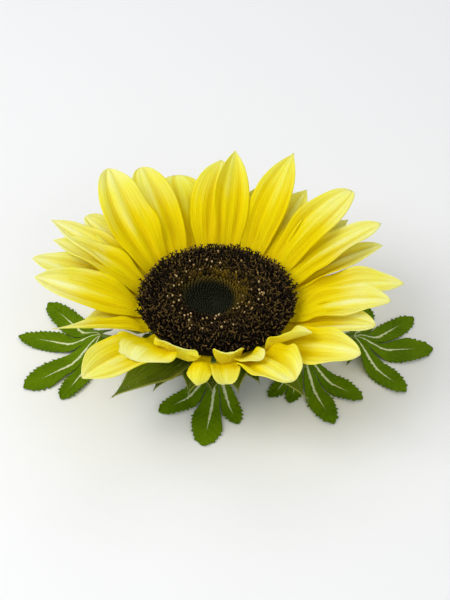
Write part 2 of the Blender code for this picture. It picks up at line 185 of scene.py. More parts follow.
def bladeCoordinates(tree):
    # the place along a blade and across it, from its own map
    mapped = addNode(tree, "UVMap", (-1700, 200), uv_map="blade")
    parts = addNode(tree, "SeparateXYZ", (-1500, 200))
    tree.links.new(mapped.outputs[0], parts.inputs[0])
    return parts.outputs[0], parts.outputs[1]


def addPatches(tree, place, vector, form):
    scale, detail = form
    return useGroup(tree, patches, place, Vector=vector, Scale=scale, Detail=detail).outputs[0]


def finishShader(tree, shader, colour, height, finish):
    # base colour, bump and every plain value of a material's shader
    plug(tree, colour, shader.inputs["Base Color"])
    for label, value in finish["surface"].items():
        shader.inputs[label].default_value = value
    if height is not None:
        bump = addNode(tree, "Bump", (-250, -400))
        strength, distance = finish["bump"]
        bump.inputs["Strength"].default_value = strength
        bump.inputs["Distance"].default_value = distance
        plug(tree, height, bump.inputs["Height"])
        plug(tree, bump.outputs[0], shader.inputs["Normal"])


# Materials, where four numbers in a row are a range: from low, from high, to low, to high

petalFinish = {
    "rootToTip": ((0.0, (0.76, 0.55, 0.001)), (0.14, (0.80, 0.59, 0.001)),
                  (0.50, (0.86, 0.69, 0.002)), (0.80, (0.88, 0.82, 0.070)),
                  (1.0, (0.90, 0.88, 0.25))),
    "streakShift": 0.14, "foldLightAndShadeShift": 0.12, "toneShift": 0.16, "shiftBack": 0.15,
    "furrowShadeAndVeinColour": (0.60, 0.42, 0.001), "furrows": (0.2, -1.0, 0.0, 0.55), "veins": 0.16,
    "creamColour": (0.91, 0.89, 0.46), "creamPatches": (75.0, 3.0),
    "creamAlong": (0.38, 0.88, 0.0, 1.0), "creamRidgeHighlight": (-0.3, 0.9, 0.35, 1.0),
    "creamTones": (0.0, 1.0, 0.1, 1.3), "backColour": (0.90, 0.82, 0.05), "backBlend": 0.4,
    "streakCount": 26.0, "streakStretch": 1.6, "roughness": (0.43, 0.58), "veinHeight": 0.7,
    "bump": (0.35, 0.0004),
    "surface": {"Subsurface Weight": 0.35, "Subsurface Radius": (1.0, 0.8, 0.12),
                "Subsurface Scale": 0.0012, "Specular IOR Level": 0.02},
}


def makePetalMaterial(name, back):
    material, tree, shader = newMaterial(name)
    finish = petalFinish
    along, across = bladeCoordinates(tree)
    tone = readAttribute(tree, (-1500, -100), "tone")
    lines = useGroup(tree, streaks, (-1200, 0), Along=along, Across=across,
                     Count=finish["streakCount"], Stretch=finish["streakStretch"], Seed=tone)
    streak, vein = lines.outputs["Streak"], lines.outputs["Vein"]
    pleat = readAttribute(tree, (-1200, -300), "pleat")
    # streaks, the petal's own tone and its folds move the colours along it; on the folds this is
    # painted light and shade, paler on the ridges and darker in the furrows
    shifted = maths(tree, (-1000, 250), "MULTIPLY_ADD", streak, finish["streakShift"], along)
    shifted = maths(tree, (-850, 250), "MULTIPLY_ADD", pleat, finish["foldLightAndShadeShift"], shifted)
    shifted = maths(tree, (-700, 250), "MULTIPLY_ADD", tone, finish["toneShift"], shifted)
    shifted = maths(tree, (-600, 250), "SUBTRACT", shifted, finish["shiftBack"])
    colour = colourRamp(tree, (-500, 250), shifted, finish["rootToTip"])
    # painted shade: the furrows of the folds are darkened towards a deeper gold, and the same
    # colour draws the veins
    furrow = remap(tree, (-900, -300), pleat, *finish["furrows"], True)
    colour = blendColours(tree, (-200, 250), furrow, colour, finish["furrowShadeAndVeinColour"])
    veins = maths(tree, (-900, -100), "MULTIPLY", vein, finish["veins"])
    colour = blendColours(tree, (-50, 250), veins, colour, finish["furrowShadeAndVeinColour"])
    # paler, thinner skin in patches towards the tip, and a painted highlight along the ridges of
    # the folds
    place = addNode(tree, "TexCoord", (-1500, -600)).outputs["Object"]
    cloud = addPatches(tree, (-1200, -600), place, finish["creamPatches"])
    outer = remap(tree, (-900, -600), shifted, *finish["creamAlong"], True)
    ridgeHighlight = remap(tree, (-900, -750), pleat, *finish["creamRidgeHighlight"], True)
    paler = remap(tree, (-550, -750), tone, *finish["creamTones"])
    cream = maths(tree, (-700, -600), "MULTIPLY", outer, cloud)
    cream = maths(tree, (-550, -600), "MULTIPLY", cream, ridgeHighlight)
    cream = maths(tree, (-400, -600), "MULTIPLY", cream, paler)
    colour = blendColours(tree, (0, 400), cream, colour, finish["creamColour"])
    if back:
        colour = blendColours(tree, (100, 250), finish["backBlend"], colour, finish["backColour"])
    rough = remap(tree, (-300, 0), streak, 0.0, 1.0, *finish["roughness"])
    plug(tree, rough, shader.inputs["Roughness"])
    height = maths(tree, (-600, -450), "MULTIPLY_ADD", vein, finish["veinHeight"], streak)
    finishShader(tree, shader, colour, height, finish)
    return material


bractFinish = {
    "darkColour": (0.052, 0.095, 0.001), "lightColour": (0.130, 0.195, 0.002),
    "edgeColour": (0.30, 0.31, 0.050), "edge": (0.40, 0.50, 0.0, 0.8), "veins": 0.25,
    "streakCount": 18.0, "streakStretch": 3.0, "patches": (140.0, 4.0),
    "streakPart": 0.5, "patchPart": 0.5, "roughness": (0.48, 0.66), "bump": (0.5, 0.0004),
    "surface": {"Subsurface Weight": 0.12, "Subsurface Scale": 0.001, "Specular IOR Level": 0.15},
}


def makeBractMaterial():
    material, tree, shader = newMaterial("bractGreen")
    finish = bractFinish
    along, across = bladeCoordinates(tree)
    tone = readAttribute(tree, (-1500, -100), "tone")
    lines = useGroup(tree, streaks, (-1200, 0), Along=along, Across=across,
                     Count=finish["streakCount"], Stretch=finish["streakStretch"], Seed=tone)
    place = addNode(tree, "TexCoord", (-1500, -400)).outputs["Object"]
    cloud = addPatches(tree, (-1200, -300), place, finish["patches"])
    mixed = maths(tree, (-950, 0), "MULTIPLY_ADD", lines.outputs["Streak"], finish["streakPart"],
                  maths(tree, (-1100, -150), "MULTIPLY", cloud, finish["patchPart"]))
    colour = blendColours(tree, (-700, 200), mixed, finish["darkColour"], finish["lightColour"])
    aside = maths(tree, (-1350, 300), "SUBTRACT", across, 0.5)
    aside = maths(tree, (-1200, 300), "ABSOLUTE", aside)
    edge = remap(tree, (-1000, 300), aside, *finish["edge"], True)
    colour = blendColours(tree, (-500, 200), edge, colour, finish["edgeColour"])
    veins = maths(tree, (-900, -150), "MULTIPLY", lines.outputs["Vein"], finish["veins"])
    colour = blendColours(tree, (-300, 200), veins, colour, finish["edgeColour"])
    rough = remap(tree, (-300, 0), cloud, 0.0, 1.0, *finish["roughness"])
    plug(tree, rough, shader.inputs["Roughness"])
    finishShader(tree, shader, colour, mixed, finish)
    return material


stemFinish = {
    "cutColour": (0.42, 0.46, 0.20), "cutHeights": (0.0001, 0.0006, 1.0, 0.0),
    "ribs": 22.0, "ribPart": 0.25, "patches": (220.0, 4.0), "bump": (0.4, 0.0005),
    "surface": {"Roughness": 0.6},
}


def makeStemMaterial():
    # the bracts' greens, ribbed round the flower's axis, with a pale cut end
    material, tree, shader = newMaterial("stemGreen")
    finish = stemFinish
    place = addNode(tree, "TexCoord", (-1500, 0)).outputs["Object"]
    shift = addNode(tree, "Mapping", (-1300, 0))
    shift.inputs["Location"].default_value = tuple(-flowerAxis)
    plug(tree, place, shift.inputs["Vector"])
    parts = addNode(tree, "SeparateXYZ", (-1100, 0))
    plug(tree, shift.outputs[0], parts.inputs[0])
    angle = maths(tree, (-900, 100), "ARCTAN2", parts.outputs[1], parts.outputs[0])
    angle = maths(tree, (-800, 100), "MULTIPLY", angle, finish["ribs"])
    ribs = maths(tree, (-700, 100), "SINE", angle)
    cloud = addPatches(tree, (-900, -200), shift.outputs[0], finish["patches"])
    mixed = maths(tree, (-500, 0), "MULTIPLY_ADD", ribs, finish["ribPart"], cloud)
    colour = blendColours(tree, (-300, 200), mixed, bractFinish["darkColour"],
                          bractFinish["lightColour"])
    cut = remap(tree, (-500, 300), parts.outputs[2], *finish["cutHeights"])
    colour = blendColours(tree, (-100, 200), cut, colour, finish["cutColour"])
    finishShader(tree, shader, colour, mixed, finish)
    return material


hairFinish = {
    "darkColour": (0.30, 0.34, 0.14), "lightColour": (0.62, 0.64, 0.48), "patches": (90.0, 2.0),
    "surface": {"Roughness": 0.4},
}


def makeHairMaterial():
    material, tree, shader = newMaterial("plantHair")
    place = addNode(tree, "TexCoord", (-900, 0)).outputs["Object"]
    cloud = addPatches(tree, (-700, 0), place, hairFinish["patches"])
    colour = blendColours(tree, (-400, 0), cloud, hairFinish["darkColour"],
                          hairFinish["lightColour"])
    finishShader(tree, shader, colour, None, hairFinish)
    return material


leafFinish = {
    "darkColour": (0.078, 0.155, 0.001), "lightColour": (0.125, 0.215, 0.001),
    "patches": (110.0, 5.0), "finePatches": (900.0, 3.0), "mapScale": 10.0,
    "veinColour": (0.19, 0.28, 0.02), "veinSpacing": 0.0034, "veinSlant": 1.1,
    "veinWander": 0.006, "veinWidth": 0.07, "veinBlend": 0.6,
    "ribColour": (0.66, 0.70, 0.42), "ribHalfWidth": 0.00052, "ribEdge": (1.15, 0.7),
    "ribSwell": (0.05, 0.30, 0.25, 1.0), "ribFading": (0.40, 0.80, 1.0, 0.0),
    "ribRagged": (0.2, 0.8, 0.55, 1.3), "leastTaper": 0.001,
    "roughness": (0.42, 0.64), "grainHeight": 0.5, "bump": (0.45, 0.0004),
    "surface": {"Specular IOR Level": 0.02},
}


def makeLeafMaterial():
    material, tree, shader = newMaterial("leafGreen")
    finish = leafFinish
    along, across = bladeCoordinates(tree)
    place = addNode(tree, "TexCoord", (-1700, -400)).outputs["Object"]
    cloud = addPatches(tree, (-1300, -300), place, finish["patches"])
    fine = addPatches(tree, (-1300, -500), place, finish["finePatches"])
    colour = blendColours(tree, (-900, 300), cloud, finish["darkColour"], finish["lightColour"])
    # both coordinates are real lengths here, a tenth of a metre to one
    aside = maths(tree, (-1450, 300), "SUBTRACT", across, 0.5)
    aside = maths(tree, (-1300, 300), "ABSOLUTE", aside)
    wander = maths(tree, (-1300, 100), "MULTIPLY_ADD", cloud, finish["veinWander"], along)
    slanted = maths(tree, (-1150, 100), "MULTIPLY_ADD", aside, -finish["veinSlant"], wander)
    spacing = finish["veinSpacing"] * finish["mapScale"]
    wave = maths(tree, (-1000, 100), "PINGPONG", slanted, spacing / 2)
    vein = remap(tree, (-850, 100), wave, spacing * finish["veinWidth"], 0.0, 0.0,
                 finish["veinBlend"], True)
    colour = blendColours(tree, (-650, 300), vein, colour, finish["veinColour"])
    # the pale midrib swells and fades again before the lobe's tip, and breaks up
    width = finish["ribHalfWidth"] * finish["mapScale"]
    outerEdge, innerEdge = finish["ribEdge"]
    reach = readAttribute(tree, (-1500, 600), "reach")
    swell = remap(tree, (-1300, 600), reach, *finish["ribSwell"], True)
    fading = remap(tree, (-1300, 750), reach, *finish["ribFading"], True)
    taper = maths(tree, (-1150, 600), "MULTIPLY", swell, fading)
    ragged = remap(tree, (-1150, 750), fine, *finish["ribRagged"])
    taper = maths(tree, (-1000, 600), "MULTIPLY_ADD", taper, ragged, finish["leastTaper"])
    near = maths(tree, (-1000, 450), "DIVIDE", aside, taper)
    rib = remap(tree, (-850, 450), near, width * outerEdge, width * innerEdge, 0.0, 1.0, True)
    colour = blendColours(tree, (-450, 300), rib, colour, finish["ribColour"])
    rough = remap(tree, (-400, 0), fine, 0.0, 1.0, *finish["roughness"])
    plug(tree, rough, shader.inputs["Roughness"])
    grainHeight = maths(tree, (-750, -300), "MULTIPLY", fine, finish["grainHeight"])
    height = maths(tree, (-600, -300), "SUBTRACT", grainHeight, vein)
    finishShader(tree, shader, colour, height, finish)
    return material


discFinish = {
    "bedColour": (0.008, 0.007, 0.003), "budDark": (0.010, 0.011, 0.003),
    "budLight": (0.042, 0.044, 0.012), "corollaDark": (0.008, 0.004, 0.001),
    "corollaLight": (0.075, 0.042, 0.005), "amber": (0.27, 0.17, 0.010),
    "stigmaDark": (0.009, 0.004, 0.001), "stigmaLight": (0.190, 0.115, 0.026),
    "pollenPale": (0.62, 0.45, 0.22), "pollenGold": (0.44, 0.28, 0.08),
    "tips": (0.70, 1.0, 0.0, 1.0), "paleFlorets": (0.15, 0.95, 0.12, 1.0),
    "patches": (1500.0, 2.0), "patchBlend": 0.35, "roughnessSpread": 0.08,
    "roughness": {"bud": 0.6, "corolla": 0.6, "stigma": 0.62, "pollen": 0.8, "bed": 0.8},
    "bump": (0.3, 0.0002), "surface": {"Specular IOR Level": 0.15},
}


def makeFloretMaterial(name, lowColour, highColour, roughness, accent=None):
    # colour runs from a floret's foot to its tips, with some florets lighter
    material, tree, shader = newMaterial(name)
    finish = discFinish
    reach = readAttribute(tree, (-1300, 200), "reach")
    tone = readAttribute(tree, (-1300, 0), "tone")
    place = addNode(tree, "TexCoord", (-1300, -300)).outputs["Object"]
    cloud = addPatches(tree, (-1050, -300), place, finish["patches"])
    tips = remap(tree, (-1150, 200), reach, *finish["tips"], True)
    pale = remap(tree, (-1150, 50), tone, *finish["paleFlorets"], True)
    mixed = maths(tree, (-1050, 100), "MULTIPLY", tips, pale)
    colour = blendColours(tree, (-700, 200), mixed, lowColour, highColour)
    dull = maths(tree, (-800, -200), "MULTIPLY", cloud, finish["patchBlend"])
    colour = blendColours(tree, (-500, 200), dull, colour, lowColour)
    if accent:
        ripe = readAttribute(tree, (-1300, 450), "ripe")
        colour = blendColours(tree, (-300, 200), ripe, colour, accent)
    rough = remap(tree, (-300, 0), cloud, 0.0, 1.0, roughness - finish["roughnessSpread"],
                  roughness + finish["roughnessSpread"])
    plug(tree, rough, shader.inputs["Roughness"])
    finishShader(tree, shader, colour, cloud, finish)
    return material


petalFront = makePetalMaterial("petalYellow", False)
petalBack = makePetalMaterial("petalYellowBack", True)
bractGreen = makeBractMaterial()
stemGreen = makeStemMaterial()
plantHair = makeHairMaterial()
leafGreen = makeLeafMaterial()
roughness = discFinish["roughness"]
budGreen = makeFloretMaterial("floretBud", discFinish["budDark"], discFinish["budLight"],
                              roughness["bud"], discFinish["amber"])
corollaBrown = makeFloretMaterial("floretCorolla", discFinish["corollaDark"],
                                  discFinish["corollaLight"], roughness["corolla"],
                                  discFinish["amber"])
stigmaBrown = makeFloretMaterial("floretStigma", discFinish["stigmaDark"],
                                 discFinish["stigmaLight"], roughness["stigma"])
pollenCream = makeFloretMaterial("pollenCream", discFinish["pollenGold"],
                                 discFinish["pollenPale"], roughness["pollen"])
bedBrown = makeFloretMaterial("discBed", discFinish["bedColour"], discFinish["budLight"],
                              roughness["bed"])
print("materials made")


# Mesh helpers

def finishPiece(name, bm, materials, nodes=(), thickness=None, otherSide=0):
    mesh = bpy.data.meshes.new(name)
    bm.to_mesh(mesh)
    bm.free()
    for material in materials:
        mesh.materials.append(material)
    mesh.shade_smooth()
    piece = bpy.data.objects.new(name, mesh)
    bpy.context.scene.collection.objects.link(piece)
    if thickness:
        wall = piece.modifiers.new("thickness", "SOLIDIFY")
        wall.thickness = thickness
        wall.offset = 0.0
        wall.material_offset = otherSide
    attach(piece, "root")
    for node in nodes:
        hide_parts(node)
    print("made", name, len(mesh.polygons), "faces")


def bladeGrid(bm, rows, columns):
    # flat grid as (vertex, row, column), with its face up and its length along X
    made = bmesh.ops.create_grid(bm, x_segments=rows, y_segments=columns, size=1.0)["verts"]
    return [(vert, round((vert.co.x + 1) / 2 * rows), round((vert.co.y + 1) / 2 * columns))
            for vert in made]


def paintBlade(bm, marks, uvs, tone):
    # blade coordinates on the corners, tone on the vertices
    layer = bm.loops.layers.uv["blade"]
    toneLayer = bm.verts.layers.float["tone"]
    for vert, *_ in marks:
        vert[toneLayer] = tone
        for loop in vert.link_loops:
            loop[layer].uv = uvs[vert]


def newBladeMesh():
    bm = bmesh.new()
    bm.loops.layers.uv.new("blade")
    bm.verts.layers.float.new("tone")
    bm.verts.layers.float.new("pleat")
    return bm


def level(azimuth):
    return Vector((math.cos(math.radians(azimuth)), math.sin(math.radians(azimuth)), 0.0))


stepsBetween = 4  # steps walked between two points that a bent line keeps


def middleLine(start, heading, sway, length, rootSlope, tipSlope, rows, late=1.0):
    # (point, direction, slope, share) along a line that bends up or down and sideways
    line, point = [], start.copy()
    for step in range(rows * stepsBetween + 1):
        share = step / (rows * stepsBetween)
        slope = math.radians(rootSlope + (tipSlope - rootSlope) * share ** late)
        ahead = level(heading + sway * share)
        if step % stepsBetween == 0:
            line.append((point.copy(), ahead, slope, share))
        ahead = ahead * math.cos(slope) + Vector((0.0, 0.0, math.sin(slope)))
        point += ahead * length / (rows * stepsBetween)
    return line


def smooth(value):
    value = min(1.0, max(0.0, value))
    return value * value * (3.0 - 2.0 * value)


# Ray petals

petalShape = {
    "rootRadius": 25.6 * mm, "freeRadius": 30.3 * mm, "freeShare": 0.25,
    "rootHeight": {"lower": 29.0 * mm, "upper": 30.1 * mm},
    "rows": 42, "rootRows": 3, "columns": 24, "thickness": 0.35 * mm,
    "short": 20.5 * mm, "shortLate": 2.0, "shortFolds": 0.35,  # how short petals bend and fold
    "steepFrom": 0.7, "clear": 4.6 * mm,  # steep petals start further out, clear of the disc
    "rootWidth": 0.48, "endWidth": 0.025, "bluntBelow": 0.7, "bluntEnd": 0.35,
    # folds, ripples, lumps and waves are in half widths, and pairs are picked between by chance
    "broadFolds": (0.85, 1.25), "fineFolds": (1.7, 2.4), "foldShift": 0.18,
    "broadPart": 0.6, "finePart": 0.4, "pleatDepth": 0.10, "pleatSpread": (0.6, 1.4),
    "pleatFade": 0.45, "drift": 0.10, "driftRate": 2.6, "fineDrift": 1.5,
    "rippleWidth": 0.23, "rippleDepth": 0.012, "lumpDepth": 0.05, "lumpRates": (3.0, 1.2),
    "edgeWave": 0.10, "waves": (1.2, 2.4), "phases": 6.3,
    "edgeWander": 0.06, "wanderRate": 3.5, "wanderSides": (9.0, 4.0),
    "paleness": 0.75, "toneSpread": 0.4, "seed": 4,
}
# azimuth, turn from the radius and sideways sway, length, width, slopes at root and tip,
# cupping, roll, broadest share, bluntness and layer, in degrees and millimetres
petals = (
    (4, 3, -10, 42, 18, 24, 1, 0.30, 0, 0.5, 0.8, "lower"),
    (21, -1, 0, 40, 14, 24, 8, 0.35, -6, 0.5, 0.7, "lower"),
    (26, 2, -2, 44, 17, 28, 10, 0.35, -8, 0.5, 0.75, "upper"),
    (36, 3, 0, 37, 14, 24, 10, 0.35, 0, 0.5, 1.0, "lower"),
    (41, 4, -4, 46, 18, 34, 11, 0.30, 0, 0.58, 0.55, "upper"),
    (56, 1, 0, 38, 16, 32, 14, 0.35, 0, 0.5, 1.0, "lower"),
    (65, 2, -2, 50, 17, 36, 16, 0.28, 0, 0.5, 1.1, "upper"),
    (75, 0, 0, 34, 14, 28, 12, 0.35, 0, 0.5, 1.0, "lower"),
    (83, 2, 0, 46, 16, 39, 17, 0.50, 12, 0.5, 1.0, "upper"),
    (95, -4, -14, 45, 19, 31, 10, 0.12, 0, 0.5, 0.8, "upper"),
    (105, 1, -5, 41, 21, 27, 9, 0.06, 0, 0.6, 0.42, "lower"),
    (121, -5, -6, 44, 18, 34, 17, 0.30, 0, 0.52, 0.5, "upper"),
    (138, -4, -26, 48, 21, 38, 20, 0.26, 0, 0.48, 0.6, "upper"),
    (143, -1, 0, 38, 14, 28, 10, 0.30, 0, 0.5, 0.5, "lower"),
    (154, -1, -2, 46, 15, 30, 11, 0.30, 0, 0.5, 1.0, "lower"),
    (161, -2, -2, 40, 18, 30, 7, 0.40, 8, 0.5, 1.0, "upper"),
    (169, -1, 0, 44, 16, 24, 9, 0.30, 0, 0.5, 0.7, "lower"),
    (183, -2, -14, 41, 20, 28, 7, 0.28, -6, 0.5, 0.9, "upper"),
    (193, 2, 0, 22, 12, 16, 2, 0.40, 0, 0.5, 1.0, "lower"),
    (204, 0, 0, 37, 12, 26, 14, 0.40, 18, 0.2, 1.8, "upper"),
    (221, 11, 0, 41, 18.5, 27, 9, 0.22, -8, 0.55, 0.8, "lower"),
    (226, 8, 12, 18.5, 24, 31, 0, 0.12, 0, 0.55, 0.45, "upper"),
    (243, 0, 0, 8.5, 19, 84, 50, 0.08, 0, 0.5, 0.45, "upper"),
    (261, -4, 0, 15, 10.5, 35, -112, -0.45, 6, 0.5, 0.5, "upper"),
    (275, 0, 0, 12, 11, 30, -70, 0.25, 0, 0.5, 0.4, "lower"),
    (278, 0, 0, 11, 12, 84, 20, 0.30, 0, 0.5, 0.35, "upper"),
    (288, 10, 20, 14, 11, 54, 0, 0.20, 0, 0.5, 0.5, "upper"),
    (294, 8, 6, 28, 23, 38, 2, 0.35, 0, 0.5, 0.5, "lower"),
    (310, 16, 34, 20, 13, 44, 20, 0.75, -30, 0.5, 0.8, "upper"),
    (314, 8, 18, 37, 20, 26, 14, 0.40, 8, 0.5, 0.6, "lower"),
    (338, 3, 6, 33, 16, 26, 7, 0.35, 0, 0.5, 0.6, "lower"),
    (350, 2, 2, 37, 18, 28, 7, 0.32, 0, 0.5, 0.7, "upper"),
)


def petalHalfWidth(share, width, broadest, blunt):
    shape = petalShape
    if share < broadest:
        part = math.sin(math.pi / 2 * share / broadest)
        part = shape["rootWidth"] + (1.0 - shape["rootWidth"]) * part
    else:
        part = (1.0 - ((share - broadest) / (1.0 - broadest)) ** 2.0) ** blunt
    end = shape["endWidth"] + shape["bluntEnd"] * max(0.0, shape["bluntBelow"] - blunt)
    return width / 2 * max(part, end)


def crossSection(cup, columns):
    # across a petal as (left, up) in half widths, walked outwards from its middle
    half = columns // 2
    section = {half: (0.0, 0.0)}
    left, up = 0.0, 0.0
    for step in range(1, half * stepsBetween + 1):
        angle = math.atan(2.0 * cup * step / (half * stepsBetween))
        left += math.cos(angle) / (half * stepsBetween)
        up += math.sin(angle) / (half * stepsBetween)
        if step % stepsBetween == 0:
            section[half + step // stepsBetween] = (left, up)
            section[half - step // stepsBetween] = (-left, up)
    return section


def addPetal(bm, petal, chance):
    (azimuth, turn, sway, length, width, rootSlope, tipSlope, cup, roll, broadest, blunt,
     layer) = petal
    shape = petalShape
    length, width = length * mm, width * mm
    rows, rootRows, columns = shape["rows"], shape["rootRows"], shape["columns"]
    radial = level(azimuth)
    short = length < shape["short"]
    late = shape["shortLate"] if short else 1.0
    plainness = shape["shortFolds"] if short else 1.0
    steep = max(0.0, math.sin(math.radians(rootSlope)) - shape["steepFrom"])
    levelRun = shape["freeRadius"] + shape["clear"] * steep - shape["rootRadius"]
    foot = radial * shape["rootRadius"] + flowerAxis
    foot.z = shape["rootHeight"][layer]
    line = middleLine(foot + radial * levelRun, azimuth + turn, sway, length, rootSlope, tipSlope,
                      rows, late)
    # paler to either side of the bloom than at its top and bottom
    tone = shape["paleness"] * radial.x ** 2 + chance.uniform(0.0, shape["toneSpread"])
    broadFold, fineFold = chance.uniform(*shape["broadFolds"]), chance.uniform(*shape["fineFolds"])
    broadShift = chance.uniform(-shape["foldShift"], shape["foldShift"])
    fineShift = chance.uniform(0, 1)
    pleatDepth = shape["pleatDepth"] * chance.uniform(*shape["pleatSpread"])
    waveLeft, waveRight = chance.uniform(0, shape["phases"]), chance.uniform(0, shape["phases"])
    waveCount = chance.uniform(*shape["waves"])
    lump = Vector((chance.uniform(0, 50), chance.uniform(0, 50), 0.0))  # its own part of the noise
    apart, lifted = shape["wanderSides"]
    lumpAlong, lumpAcross = shape["lumpRates"]
    sections = {}
    uvs = {}
    marks = bladeGrid(bm, rows + rootRows, columns)
    pleatLayer = bm.verts.layers.float["pleat"]
    for vert, row, column in marks:
        step = row - rootRows
        middle, way, slope, share = line[max(step, 0)]
        freedom = min(1.0, share / shape["freeShare"])
        if step < 0:
            middle = foot + radial * levelRun * row / rootRows
            way, slope = radial, 0.0
        elif step == 0:
            way = (radial + way).normalized()
        if row not in sections:
            sections[row] = crossSection(cup * freedom, columns)
        left, up = sections[row][column]
        side = column / columns * 2.0 - 1.0
        half = petalHalfWidth(share, width, broadest, blunt)
        edgePlace = Vector((share * shape["wanderRate"], apart * math.copysign(1.0, side), lifted))
        wander = noise.noise(lump + edgePlace)
        half *= 1.0 + shape["edgeWander"] * wander * abs(side) * freedom
        # long folds, broad and fine, that drift sideways along the petal
        drift = shape["drift"] * math.sin(share * shape["driftRate"] + waveLeft)
        broad = math.cos(math.tau * (side * broadFold + broadShift + drift))
        fine = math.cos(math.tau * (side * fineFold + fineShift - drift * shape["fineDrift"]))
        pleat = shape["broadPart"] * broad + shape["finePart"] * fine
        pleat *= math.sqrt(max(0.0, 1.0 - side ** 2))
        fade = freedom * (1.0 - shape["pleatFade"] * share ** 2) * plainness
        ripple = math.cos(math.tau * side / shape["rippleWidth"] + fineShift)
        ripple *= shape["rippleDepth"] * (1.0 - abs(side))
        up += (pleat * pleatDepth + ripple) * fade
        phase = waveLeft if side > 0 else waveRight
        up += (shape["edgeWave"] * abs(side) ** 3 * freedom
               * math.sin(math.tau * waveCount * share + phase))
        lumpPlace = Vector((share * lumpAlong, side * lumpAcross, 0.0))
        up += shape["lumpDepth"] * freedom * noise.noise(lump + lumpPlace)
        across = Vector((-way.y, way.x, 0.0))
        lift = Vector((0.0, 0.0, math.cos(slope))) - way * math.sin(slope)
        twist = math.radians(roll) * freedom
        toLeft = across * math.cos(twist) + lift * math.sin(twist)
        upward = lift * math.cos(twist) - across * math.sin(twist)
        vert.co = middle + toLeft * left * half + upward * up * half
        vert[pleatLayer] = pleat * fade
        uvs[vert] = (share, (side + 1.0) / 2.0)
    paintBlade(bm, marks, uvs, tone)


chance = random.Random(petalShape["seed"])
layers = {"lower": newBladeMesh(), "upper": newBladeMesh()}
for petal in petals:
    addPetal(layers[petal[-1]], petal, chance)
for layer, bm in layers.items():
    finishPiece(layer + "Petals", bm, [petalFront, petalBack], ["ray_petals"],
                petalShape["thickness"], 1)


# Disc of florets

discShape = {
    "radius": 30.0 * mm, "top": 35.6 * mm, "hollow": (2.2 * mm, 0.42),  # depth and share of radius
    "shoulder": (1.6 * mm, 0.8, 0.2),  # drop, where it starts and how far it runs
    "spiralRadius": 28.4 * mm, "count": 1600, "crowding": 0.72,
    # leans in degrees; at the rim, how much, where it starts and how far it runs
    "lean": 4, "rimLean": (36, 0.72, 0.28), "middleLean": (14, 0.5), "leanSpread": (-12, 8),
    "spins": 6.28,
    "calmMiddle": 0.3, "size": (0.48, 0.57), "rimSmaller": (0.15, 0.9, 0.1),
    "sizeSpread": (0.85, 1.15), "sink": 0.5 * mm, "bedDrop": 2.4 * mm,
    # a floret's age is its distance from the youngest, as a share of the spiral's radius
    "youngest": Vector((-2.4, 1.2, 0.0)) * mm, "budsTo": 0.40, "budRim": 0.12,
    "budAmber": (0.25, 0.3), "amberTo": 0.57, "amberBlend": 0.10, "amberSide": 50.0,
    "amberOdds": 0.8, "amberSpread": (0.2, 0.8), "bareOdds": 0.85,
    "pollenTo": 0.80, "pollenOdds": {"inner": 0.12, "outer": 0.07}, "seed": 11,
}


def discHeight(radius):
    share = radius / discShape["radius"]
    depth, width = discShape["hollow"]
    drop, begin, run = discShape["shoulder"]
    hollow = depth * (1.0 - min(1.0, share / width) ** 2)
    shoulder = drop * max(0.0, (share - begin) / run) ** 2
    return discShape["top"] - hollow - shoulder


def rod(bm, path, radii, sides):
    # a rod swept along a path, drawn to a point where its last radius is 0
    ring = bmesh.ops.create_circle(bm, cap_ends=True, segments=sides, radius=radii[0])["verts"]
    last = len(path) - 1
    headings = [(path[min(k + 1, last)] - path[max(k - 1, 0)]).normalized()
                for k in range(last + 1)]
    turns = [heading.to_track_quat("Z", "Y").to_matrix().to_4x4() for heading in headings]
    bmesh.ops.transform(bm, matrix=Matrix.Translation(path[0]) @ turns[0], verts=ring)
    for k in range(1, last + 1):
        nearby = dict.fromkeys(edge for vert in ring for edge in vert.link_edges)
        edges = [edge for edge in nearby if edge.verts[0] in ring and edge.verts[1] in ring]
        grown = bmesh.ops.extrude_edge_only(bm, edges=edges)["geom"]
        ring = [item for item in grown if isinstance(item, bmesh.types.BMVert)]
        size = max(radii[k], 1e-6) / radii[k - 1]  # never nothing, and a point is merged below
        move = (Matrix.Translation(path[k]) @ turns[k] @ Matrix.Scale(size, 4)
                @ turns[k - 1].inverted() @ Matrix.Translation(-path[k - 1]))
        bmesh.ops.transform(bm, matrix=move, verts=ring)
    if radii[-1] == 0:
        bmesh.ops.pointmerge(bm, verts=ring, merge_co=path[-1])
    else:
        bmesh.ops.contextual_create(bm, geom=ring)


def newFloretMesh():
    bm = bmesh.new()
    for name in ("reach", "tone", "ripe"):
        bm.verts.layers.float.new(name)
    return bm


def scatter(bm, places):
    # copies the shape in bm to each (matrix, tone, ripeness), and drops the first one
    bmesh.ops.recalc_face_normals(bm, faces=bm.faces)
    shape = list(bm.verts) + list(bm.edges) + list(bm.faces)
    shapeVerts = list(bm.verts)
    tones, ripes = bm.verts.layers.float["tone"], bm.verts.layers.float["ripe"]
    for matrix, tone, ripe in places:
        copied = bmesh.ops.duplicate(bm, geom=shape)["geom"]
        verts = [item for item in copied if isinstance(item, bmesh.types.BMVert)]
        bmesh.ops.transform(bm, matrix=matrix, verts=verts)
        for vert in verts:
            vert[tones] = tone
            vert[ripes] = ripe
    bmesh.ops.delete(bm, geom=shapeVerts, context="VERTS")


